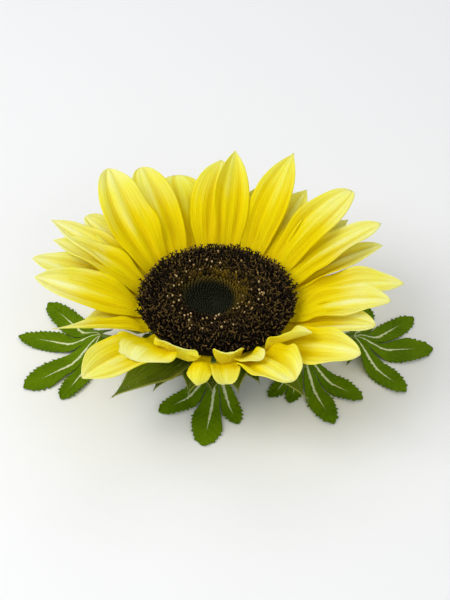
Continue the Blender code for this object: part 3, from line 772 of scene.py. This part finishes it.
# Rods of each floret in millimetres: their azimuths, (out, height) points, radii and sides
floretShapes = {
    "bud": (((0,), ((0, 0), (0, 1.5), (0, 2.4), (0, 2.9)), (0.55, 0.78, 0.64, 0.22), 6),),
    # a tube with five pointed lobes bent outwards
    "corolla": (((0,), ((0, 0), (0, 1.6), (0, 2.6)), (0.36, 0.52, 0.68), 5),
                ((36, 108, 180, 252, 324), ((0.45, 2.2), (0.88, 3.0), (1.20, 3.1)),
                 (0.30, 0.27, 0.0), 3)),
    "anther": (((0,), ((0, 1.8), (0, 3.2), (0, 3.9), (0, 4.2)), (0.36, 0.44, 0.36, 0.12), 5),),
    # an anther column with two arms curled back over it
    "stigma": (((0,), ((0, 1.8), (0, 3.2), (0, 3.8)), (0.30, 0.36, 0.26), 5),
               ((180, 0), ((0.05, 3.4), (0.32, 4.3), (0.66, 4.5), (0.88, 4.15)),
                (0.22, 0.25, 0.23, 0.10), 4)),
}
floretForm = {
    "tall": 4.2 * mm, "pollenRadius": 0.50 * mm, "pollenStretch": 1.5, "pollenHeight": 4.2 * mm,
}


def standingRod(bm, azimuth, points, radii, sides):
    path = [(level(azimuth) * out + Vector((0.0, 0.0, height))) * mm for out, height in points]
    rod(bm, path, [radius * mm for radius in radii], sides)


def markReach(bm):
    # 0 at a floret's foot and 1 at its tips
    layer = bm.verts.layers.float["reach"]
    for vert in bm.verts:
        vert[layer] = min(1.0, max(0.0, vert.co.z / floretForm["tall"]))


def floretMesh(kind):
    bm = newFloretMesh()
    for azimuths, points, radii, sides in floretShapes[kind]:
        for azimuth in azimuths:
            standingRod(bm, azimuth, points, radii, sides)
    markReach(bm)
    return bm


def pollenMesh():
    bm = newFloretMesh()
    raised = Matrix.Translation(Vector((0.0, 0.0, floretForm["pollenHeight"])))
    stretched = Matrix.Scale(floretForm["pollenStretch"], 4, (0, 0, 1))
    bmesh.ops.create_icosphere(bm, subdivisions=1, radius=floretForm["pollenRadius"],
                               matrix=raised @ stretched)
    markReach(bm)
    return bm


def placeFlorets():
    # florets open from the rim inwards, towards a point a little off the axis
    shape = discShape
    chance = random.Random(shape["seed"])
    rimLean, leanBegin, leanRun = shape["rimLean"]
    middleLean, middleShare = shape["middleLean"]
    leastSize, moreSize = shape["size"]
    rimSmaller, smallBegin, smallRun = shape["rimSmaller"]
    budAmber, sideAmber = shape["budAmber"]
    places = {"bud": [], "corolla": [], "anther": [], "stigma": [], "pollen": []}
    for n in range(shape["count"]):
        share = ((n + 0.5) / shape["count"]) ** shape["crowding"]
        radius = share * shape["spiralRadius"]
        angle = n * goldenAngle
        out = Vector((math.cos(angle), math.sin(angle), 0.0))
        lean = math.radians(shape["lean"] + rimLean * smooth((share - leanBegin) / leanRun)
                            - middleLean * smooth(1 - share / middleShare))
        restless = shape["calmMiddle"] + (1.0 - shape["calmMiddle"]) * share
        lean += math.radians(chance.uniform(*shape["leanSpread"]) * restless)
        tilt = Matrix.Rotation(lean, 4, Vector((-out.y, out.x, 0.0)))
        spin = Matrix.Rotation(chance.uniform(0, shape["spins"]), 4, "Z")
        size = leastSize + moreSize * share
        size *= 1.0 - rimSmaller * smooth((share - smallBegin) / smallRun)
        foot = flowerAxis + out * radius
        foot.z = discHeight(radius) - shape["bedDrop"] - chance.uniform(0.0, shape["sink"])
        placed = Matrix.Translation(foot) @ tilt @ spin
        tone = chance.random()
        age = (out * radius - shape["youngest"]).length / shape["spiralRadius"]
        side = math.cos(angle - math.radians(shape["amberSide"]))
        if age < shape["budsTo"]:
            rim = smooth(1.0 - (shape["budsTo"] - age) / shape["budRim"])
            ripe = rim * (budAmber + sideAmber * side)
            places["bud"].append((placed @ Matrix.Scale(size, 4), tone, ripe))
            continue
        young = smooth((shape["amberTo"] + shape["amberBlend"] - age) / (2 * shape["amberBlend"]))
        ripe = 0.0
        if chance.random() < shape["amberOdds"]:
            ripe = young * chance.uniform(*shape["amberSpread"]) * (0.5 + 0.5 * side)
        opened = placed @ Matrix.Scale(size * chance.uniform(*shape["sizeSpread"]), 4)
        places["corolla"].append((opened, tone, ripe))
        if chance.random() < young * shape["bareOdds"]:
            places["anther"].append((opened, tone, ripe))
        else:
            places["stigma"].append((opened, tone, 0.0))
        odds = 0.0
        if age < shape["pollenTo"]:
            odds = shape["pollenOdds"]["inner" if age < shape["amberTo"] else "outer"]
        if chance.random() < odds:
            places["pollen"].append((opened, chance.random(), 0.0))
    return places


def addFlorets(name, bm, places, material):
    scatter(bm, places)
    finishPiece(name, bm, [material], ["disc_florets"])


florets = placeFlorets()
addFlorets("centreBuds", floretMesh("bud"), florets["bud"], budGreen)
addFlorets("floretCorollas", floretMesh("corolla"), florets["corolla"], corollaBrown)
addFlorets("antherTubes", floretMesh("anther"), florets["anther"], corollaBrown)
addFlorets("stigmaArms", floretMesh("stigma"), florets["stigma"], stigmaBrown)
addFlorets("pollenGrains", pollenMesh(), florets["pollen"], pollenCream)


def spinProfile(bm, profile, steps):
    # a closed form turned round the flower's axis
    verts = [bm.verts.new(flowerAxis + Vector((radius, 0.0, height))) for radius, height in profile]
    edges = [bm.edges.new(pair) for pair in zip(verts, verts[1:])]
    bmesh.ops.spin(bm, geom=verts + edges, cent=flowerAxis, axis=(0, 0, 1), steps=steps,
                   angle=math.tau, use_merge=True)
    bmesh.ops.remove_doubles(bm, verts=bm.verts, dist=0.02 * mm)
    bmesh.ops.recalc_face_normals(bm, faces=bm.faces)


bedShape = {
    "radius": 28.9 * mm, "rings": 14, "steps": 72,
    "underside": ((28.8, 31.2), (24.2, 30.9), (24.2, 28.3), (0.0, 28.3)),
}
bm = newFloretMesh()
bedProfile = [(0.0, discHeight(0.0) - discShape["bedDrop"])]
for k in range(1, bedShape["rings"] + 1):
    radius = bedShape["radius"] * k / bedShape["rings"]
    bedProfile.append((radius, discHeight(radius) - discShape["bedDrop"]))
bedProfile += [(radius * mm, height * mm) for radius, height in bedShape["underside"]]
spinProfile(bm, bedProfile, bedShape["steps"])
finishPiece("discBed", bm, [bedBrown], ["disc_florets"])


# Bracts, receptacle and stem stub

bractShape = {
    # count, first azimuth, radius, height, length, width, slopes at root and tip
    "whorls": ((11, -12, 23.0, 21.6, 21, 13.5, 6, -18), (11, 5, 20.0, 19.4, 20, 12.5, -4, -22)),
    # whorl and number: shares of the usual length and width, turn and sideways sway
    "apart": {(0, 7): (1.48, 1.64, 12, -19), (0, 8): (0.70, 1.0, 4, 0), (0, 9): (0.66, 1.0, 0, 0),
              (0, 10): (1.32, 1.0, -5, 0), (1, 7): (0.95, 1.1, -2, 0), (1, 8): (0.62, 1.0, 0, 0),
              (1, 9): (0.62, 1.0, 0, 0)},
    "lengths": (0.92, 1.06), "turns": (-3, 3), "rootSlopes": (-3, 3), "tipSlopes": (-6, 6),
    "toneStep": 0.37, "whorlTone": 0.5, "seed": 7, "sunk": 4.0 * mm, "sunkRows": 2,
    "broadest": 0.4, "rootWidth": 0.8, "pointed": 1.35, "endWidth": 0.02,
    "cup": 0.22, "foldDepth": 0.05, "foldRate": 9.0, "edgeWave": 0.06, "waveRates": (7.0, 6.0),
    "rows": 26, "columns": 12, "thickness": 0.45 * mm,
}


def bractHalfWidth(share, width):
    broadest, rootWidth = bractShape["broadest"], bractShape["rootWidth"]
    if share < broadest:
        part = rootWidth + (1.0 - rootWidth) * share / broadest
    else:
        part = (1.0 - (share - broadest) / (1.0 - broadest)) ** bractShape["pointed"]
    return width / 2 * max(part, bractShape["endWidth"])


def addBract(bm, azimuth, sway, radius, height, length, width, rootSlope, tipSlope, tone):
    shape = bractShape
    rows, columns, sunkRows = shape["rows"], shape["columns"], shape["sunkRows"]
    waveRate, toneRate = shape["waveRates"]
    ahead = level(azimuth)
    start = flowerAxis + ahead * radius + Vector((0.0, 0.0, height))
    line = middleLine(start, azimuth, sway, length, rootSlope, tipSlope, rows)
    uvs = {}
    marks = bladeGrid(bm, rows + sunkRows, columns)
    for vert, row, column in marks:
        middle, way, _, share = line[max(row - sunkRows, 0)]
        if row < sunkRows:
            middle = middle - ahead * shape["sunk"] * (sunkRows - row) / sunkRows
        across = Vector((-way.y, way.x, 0.0))
        side = column / columns * 2.0 - 1.0
        half = bractHalfWidth(share, width)
        up = shape["cup"] * side * side
        up += shape["foldDepth"] * math.cos(side * shape["foldRate"]) * (1.0 - abs(side))
        up += (shape["edgeWave"] * abs(side) ** 3
               * math.sin(share * waveRate + tone * toneRate + side))
        vert.co = middle + across * side * half + Vector((0.0, 0.0, up * half))
        uvs[vert] = (share, (side + 1.0) / 2.0)
    paintBlade(bm, marks, uvs, tone)


chance = random.Random(bractShape["seed"])
bractMesh = newBladeMesh()
for whorl, bract in enumerate(bractShape["whorls"]):
    count, first, radius, height, length, width, rootSlope, tipSlope = bract
    for k in range(count):
        usual = (chance.uniform(*bractShape["lengths"]), 1.0,
                 chance.uniform(*bractShape["turns"]), 0)
        longer, wider, turn, sway = bractShape["apart"].get((whorl, k), usual)
        tone = (k * bractShape["toneStep"] + whorl * bractShape["whorlTone"]) % 1.0
        addBract(bractMesh, first + 360 * k / count + turn, sway, radius * mm, height * mm,
                 length * longer * mm, width * wider * mm,
                 rootSlope + chance.uniform(*bractShape["rootSlopes"]),
                 tipSlope + chance.uniform(*bractShape["tipSlopes"]), tone)

hairShape = {
    "points": ((0.0, -0.1), (0.1, 0.7), (0.35, 1.35)), "radii": (0.045, 0.03, 0.0), "sides": 3,
    "onFaces": 2600, "upperShare": 0.45, "faceSpread": 0.5, "faceSizes": (0.5, 1.2),
    "onEdges": 900, "edgeSpread": 0.4, "edgeSizes": (0.6, 1.3),
    "onStem": 500, "stemSpread": 0.5, "stemSizes": (0.6, 1.2), "stemFrom": 2.0 * mm,
    "tone": 0.5, "fewer": 3,
}
hairPlaces = []


def standHair(chance, spot, way, spread, sizes):
    # its lean off the way and its size are left to chance
    way = way + Vector([chance.uniform(-spread, spread) for _ in range(3)])
    turn = way.to_track_quat("Z", "Y").to_matrix().to_4x4()
    placed = Matrix.Translation(spot) @ turn @ Matrix.Scale(chance.uniform(*sizes), 4)
    hairPlaces.append((placed, hairShape["tone"], 0.0))


# hairs stand on the bracts' faces and fringe their edges
faces = list(bractMesh.faces)
for k in range(hairShape["onFaces"]):
    face = chance.choice(faces)
    normal = face.normal if face.normal.length else Vector((0, 0, 1))
    side = 1 if chance.random() < hairShape["upperShare"] else -1
    standHair(chance, face.calc_center_median(), normal * side, hairShape["faceSpread"],
              hairShape["faceSizes"])
rims = [edge for edge in bractMesh.edges if edge.is_boundary]
for k in range(hairShape["onEdges"]):
    edge = chance.choice(rims)
    spot = (edge.verts[0].co + edge.verts[1].co) / 2
    inner = edge.link_faces[0].calc_center_median()
    standHair(chance, spot, (spot - inner).normalized(), hairShape["edgeSpread"],
              hairShape["edgeSizes"])
finishPiece("bracts", bractMesh, [bractGreen], ["receptacle_and_stem"],
            bractShape["thickness"])

stemShape = {
    # radius and height in millimetres, from the middle of the cut end up to the disc's seat
    "profile": ((0.0, 0.0), (5.9, 0.0), (6.4, 0.5), (6.2, 5.0), (6.4, 10.5), (7.0, 12.6),
                (8.4, 14.0), (13.5, 17.2), (21.0, 19.8), (26.0, 23.5), (28.2, 26.8), (28.0, 28.0),
                (0.0, 28.0)),
    "steps": 88, "ribs": 11, "ribHeight": 0.16 * mm, "ribsOutside": 4 * mm,
    "ribsFrom": 0.2 * mm, "ribsTo": 26 * mm, "flatFrom": 0.9,
}
bm = bmesh.new()
spinProfile(bm, [(radius * mm, height * mm) for radius, height in stemShape["profile"]],
            stemShape["steps"])
for vert in bm.verts:
    out = vert.co - flowerAxis
    around = math.atan2(out.y, out.x)
    if (out.xy.length > stemShape["ribsOutside"]
            and stemShape["ribsFrom"] < out.z < stemShape["ribsTo"]):
        outwards = Vector((out.x, out.y, 0)).normalized()
        vert.co += outwards * stemShape["ribHeight"] * math.sin(around * stemShape["ribs"])


def upAndRound(face):
    centre = face.calc_center_median() - flowerAxis
    return round(centre.z / mm, 2), math.atan2(centre.y, centre.x)


# spin leaves its faces in no fixed order, so they are put in one before any is chosen
stemFaces = [face for face in bm.faces if abs(face.normal.z) < stemShape["flatFrom"]
             and face.calc_center_median().z > hairShape["stemFrom"]]
stemFaces.sort(key=upAndRound)
for face in chance.sample(stemFaces, hairShape["onStem"]):
    standHair(chance, face.calc_center_median(), face.normal, hairShape["stemSpread"],
              hairShape["stemSizes"])
finishPiece("stemAndReceptacle", bm, [stemGreen], ["receptacle_and_stem"])

bm = newFloretMesh()
standingRod(bm, 0, hairShape["points"], hairShape["radii"], hairShape["sides"])
scatter(bm, hairPlaces)
finishPiece("bractHairs", bm, [plantHair])


# Leaves

# junction of the lobes, the stalk's height at the stem, and each lobe's tip and width,
# in millimetres from the flower's axis
leafShape = {
    "leaf_left": ((-46, 6, 8), 6.0,
                  ((-70, 34, 11), (-80, 14, 11), (-75, -15, 13), (-60, -21, 9))),
    "leaf_front": ((0, -13, 9), 4.5, ((-22, -28, 10), (-5, -45, 13), (8, -34, 8))),
    "leaf_front_right": ((33, -5, 9), 8.5,
                         ((20, -20, 7), (28, -23, 7), (44, -34, 10), (56, -21, 10))),
    "leaf_right": ((54, 5, 8), 5.0,
                   ((73, -17, 10), (86, 7, 14), (80, 25, 10), (62, 31, 9))),
    "leaf_back": ((-2, 26, 9), 7.5,
                  ((30, 34, 11), (17, 50, 12), (-4, 55, 12), (-27, 45, 11))),
}
leafForm = {
    "flatReach": 15.0 * mm, "middleHeight": 0.45 * mm, "thickness": 0.35 * mm,
    "webShare": 0.19, "webRows": 5, "outerAngle": math.pi / 3, "columns": 20, "crowding": 1.25,
    "lobeStart": 0.24, "lobeArc": (0.14, 0.80), "lobePower": 0.7, "tipRun": 0.10, "tipWidth": 0.03,
    "toothLength": 1.7 * mm, "toothDepth": 0.85 * mm, "smallTeeth": 0.25, "toothFade": 9.0,
    # share of a tooth's length and its height there
    "toothForm": ((0.05, -0.5), (0.35, -0.15), (0.65, 0.2), (0.93, 0.5)),
    "cuts": 23, "cutSpread": (0.15, 1.9), "lobeGap": 0.93,
    "ribHeight": 0.5 * mm, "ribHalfWidth": 0.55 * mm, "ribFade": 0.5,
    "quilt": 0.10 * mm, "quiltFrom": 1.5, "lift": 0.7 * mm, "liftRate": 0.32, "liftTone": 9.0,
    "seed": 21,
}


def lobeHalfWidth(share, width):
    share = min(1.0, max(0.0, share))
    begin, run = leafForm["lobeArc"]
    part = math.sin(math.pi * (begin + run * share)) ** leafForm["lobePower"]
    tip = min(1.0, (1.0 - share) / leafForm["tipRun"] + leafForm["tipWidth"])
    return width / 2 * part * tip ** 0.5


def addLobe(bm, centre, junctionHeight, angle, length, width, clears, webReach, tone):
    form = leafForm
    webRows, columns = form["webRows"], form["columns"]
    ahead = Vector((math.cos(angle), math.sin(angle), 0.0))
    across = Vector((-ahead.y, ahead.x, 0.0))
    teeth = round(length * (1.0 - form["lobeStart"]) / form["toothLength"])
    stations = [(webReach * k / webRows, 0.0) for k in range(webRows + 1)]
    for k in range(teeth):
        for part, depth in form["toothForm"]:
            stations.append((webReach + (length - webReach) * (k + part) / teeth, depth))
    stations.append((length, 0.0))
    rows = len(stations) - 1
    chance = random.Random(int(tone * 1000))  # each lobe's own, so its neighbours don't match
    cuts = [chance.uniform(*form["cutSpread"]) for _ in range(form["cuts"])]
    reachLayer = bm.verts.layers.float["reach"]
    uvs = {}
    marks = bladeGrid(bm, rows, columns)
    for vert, row, column in marks:
        along, tooth = stations[row]
        even = column / columns * 2.0 - 1.0
        side = math.copysign(abs(even) ** form["crowding"], even)
        clear = clears[0] if side < 0 else clears[1]
        share = (along / length - form["lobeStart"]) / (1.0 - form["lobeStart"])
        half = lobeHalfWidth(share, width)
        growing = form["smallTeeth"] + (1.0 - form["smallTeeth"]) * smooth(share * 2.0)
        fading = min(1.0, max(0.0, (1.0 - share) * form["toothFade"]))
        half += form["toothDepth"] * growing * cuts[row % len(cuts)] * tooth * fading
        # two lobes share the angle between them, joined in the web and a little apart past it
        room = along * math.tan(min(clear, form["outerAngle"]))
        half = room if row <= webRows else min(half, room * form["lobeGap"])
        offset = side * half
        spot = centre + ahead * along + across * offset
        reach = min(1.0, (spot - centre).length / form["flatReach"])
        height = junctionHeight * (1.0 - reach * reach * (3.0 - 2.0 * reach))
        rib = math.exp(-(offset / form["ribHalfWidth"]) ** 2)
        rib *= 1.0 - form["ribFade"] * along / length
        slanted = (along - leafFinish["veinSlant"] * abs(offset)) / leafFinish["veinSpacing"]
        quilt = abs(math.sin(math.pi * slanted)) * min(1.0, abs(offset) / mm / form["quiltFrom"])
        wave = 0.5 + 0.5 * math.sin(along / mm * form["liftRate"] + tone * form["liftTone"]
                                    + math.copysign(1.0, side))
        height += form["middleHeight"] + rib * form["ribHeight"] * min(1.0, along / mm)
        height += quilt * form["quilt"] + wave * form["lift"] * abs(side) ** 2 * reach
        vert.co = Vector((spot.x, spot.y, height))
        vert[reachLayer] = along / length
        uvs[vert] = (along * leafFinish["mapScale"], offset * leafFinish["mapScale"] + 0.5)
    paintBlade(bm, marks, uvs, tone)


stalkShape = {
    "start": 6.5 * mm, "radius": 1.3 * mm, "widths": (1.15, 0.35), "sag": 1.2 * mm,
    "steps": 14, "sides": 12,
}


def makeStalk(name, centre, stemHeight, junctionHeight):
    # from the stem to the lobes' junction, sagging a little and growing thinner
    shape = stalkShape
    heading = (centre - flowerAxis).normalized()
    start = flowerAxis + heading * shape["start"] + Vector((0, 0, stemHeight))
    end = centre + Vector((0, 0, junctionHeight + leafForm["middleHeight"]))
    atStem, thinner = shape["widths"]
    path, radii = [], []
    for k in range(shape["steps"] + 1):
        share = k / shape["steps"]
        sag = Vector((0, 0, shape["sag"] * math.sin(math.pi * share)))
        path.append(start.lerp(end, share) - sag)
        radii.append(shape["radius"] * (atStem - thinner * share))
    bm = newBladeMesh()
    rod(bm, path, radii, shape["sides"])
    bmesh.ops.recalc_face_normals(bm, faces=bm.faces)
    finishPiece(name, bm, [stemGreen])


def makeLeaf(node):
    junction, stemHeight, lobes = leafShape[node]
    chance = random.Random(leafForm["seed"] + len(node))
    centre = flowerAxis + Vector((junction[0], junction[1], 0.0)) * mm
    reaches = [flowerAxis + Vector((lobe[0], lobe[1], 0.0)) * mm - centre for lobe in lobes]
    angles = [math.atan2(reach.y, reach.x) for reach in reaches]
    for k in range(1, len(angles)):
        while angles[k] < angles[k - 1]:
            angles[k] += math.tau
    webReach = leafForm["webShare"] * min(reach.length for reach in reaches)
    bm = newBladeMesh()
    bm.verts.layers.float.new("reach")
    for k, angle in enumerate(angles):
        before = (angle - angles[k - 1]) / 2 if k else leafForm["outerAngle"]
        after = (angles[k + 1] - angle) / 2 if k + 1 < len(angles) else leafForm["outerAngle"]
        addLobe(bm, centre, junction[2] * mm, angle, reaches[k].length, lobes[k][2] * mm,
                (before, after), webReach, chance.random())
    bmesh.ops.remove_doubles(bm, verts=bm.verts, dist=0.01 * mm)
    words = node.split("_")
    name = words[0] + "".join(word.capitalize() for word in words[1:])
    finishPiece(name, bm, [leafGreen], [node], leafForm["thickness"])
    makeStalk(name + "Stalk", centre, stemHeight * mm, junction[2] * mm)


for node in leafShape:
    makeLeaf(node)


# Floor, light and camera

room = {
    "floorSize": 6.0, "floorColour": (0.88, 0.88, 0.875), "floorRoughness": 0.9,
    "floorGloss": 0.1, "skyColour": (0.96, 0.975, 1.0), "skyStrength": 0.58,
    # place, size and power of each
    "lamps": (((-0.60, -0.15, 0.70), 0.70, 4.5), ((0.45, -0.7, 0.6), 0.9, 1.7),
              ((0.1, 0.7, 0.8), 0.7, 1.2)),
    "elevation": 42.0, "distance": 0.538, "aimHeight": 0.034, "lens": 85.0, "sensor": 36.0,
    "sideways": 0.00304, "upwards": -0.00076, "clipStart": 0.01,
}
bm = bmesh.new()
bmesh.ops.create_grid(bm, x_segments=1, y_segments=1, size=room["floorSize"] / 2)
floorMesh = bpy.data.meshes.new("floor")
bm.to_mesh(floorMesh)
bm.free()
floor = bpy.data.objects.new("floor", floorMesh)
bpy.context.scene.collection.objects.link(floor)
paleFloor, _, shader = newMaterial("paleFloor")
shader.inputs["Base Color"].default_value = (*room["floorColour"], 1.0)
shader.inputs["Roughness"].default_value = room["floorRoughness"]
shader.inputs["Specular IOR Level"].default_value = room["floorGloss"]
floorMesh.materials.append(paleFloor)

bpy.context.scene.view_settings.view_transform = "Standard"
world = bpy.data.worlds.new("studio")
bpy.context.scene.world = world
world.use_nodes = True
sky = world.node_tree.nodes["Background"]
sky.inputs["Color"].default_value = (*room["skyColour"], 1.0)
sky.inputs["Strength"].default_value = room["skyStrength"]
for place, size, power in room["lamps"]:
    light = bpy.data.lights.new("softbox", "AREA")
    light.shape = "DISK"
    light.size = size
    light.energy = power
    lamp = bpy.data.objects.new("softbox", light)
    bpy.context.scene.collection.objects.link(lamp)
    lamp.location = Vector(place)
    lamp.rotation_euler = (flowerAxis - Vector(place)).to_track_quat("-Z", "Y").to_euler()

camera = bpy.data.cameras.new("camera")
camera.lens = room["lens"]
camera.sensor_width = room["sensor"]
camera.clip_start = room["clipStart"]
cameraObject = bpy.data.objects.new("camera", camera)
bpy.context.scene.collection.objects.link(cameraObject)
bpy.context.scene.camera = cameraObject
tilt = math.radians(room["elevation"])
forward = Vector((0.0, math.cos(tilt), -math.sin(tilt)))
upward = Vector((0.0, math.sin(tilt), math.cos(tilt)))
aim = flowerAxis + Vector((room["sideways"], 0.0, room["aimHeight"])) + upward * room["upwards"]
cameraObject.location = aim - forward * room["distance"]
cameraObject.rotation_euler = forward.to_track_quat("-Z", "Y").to_euler()

print("scene ready")
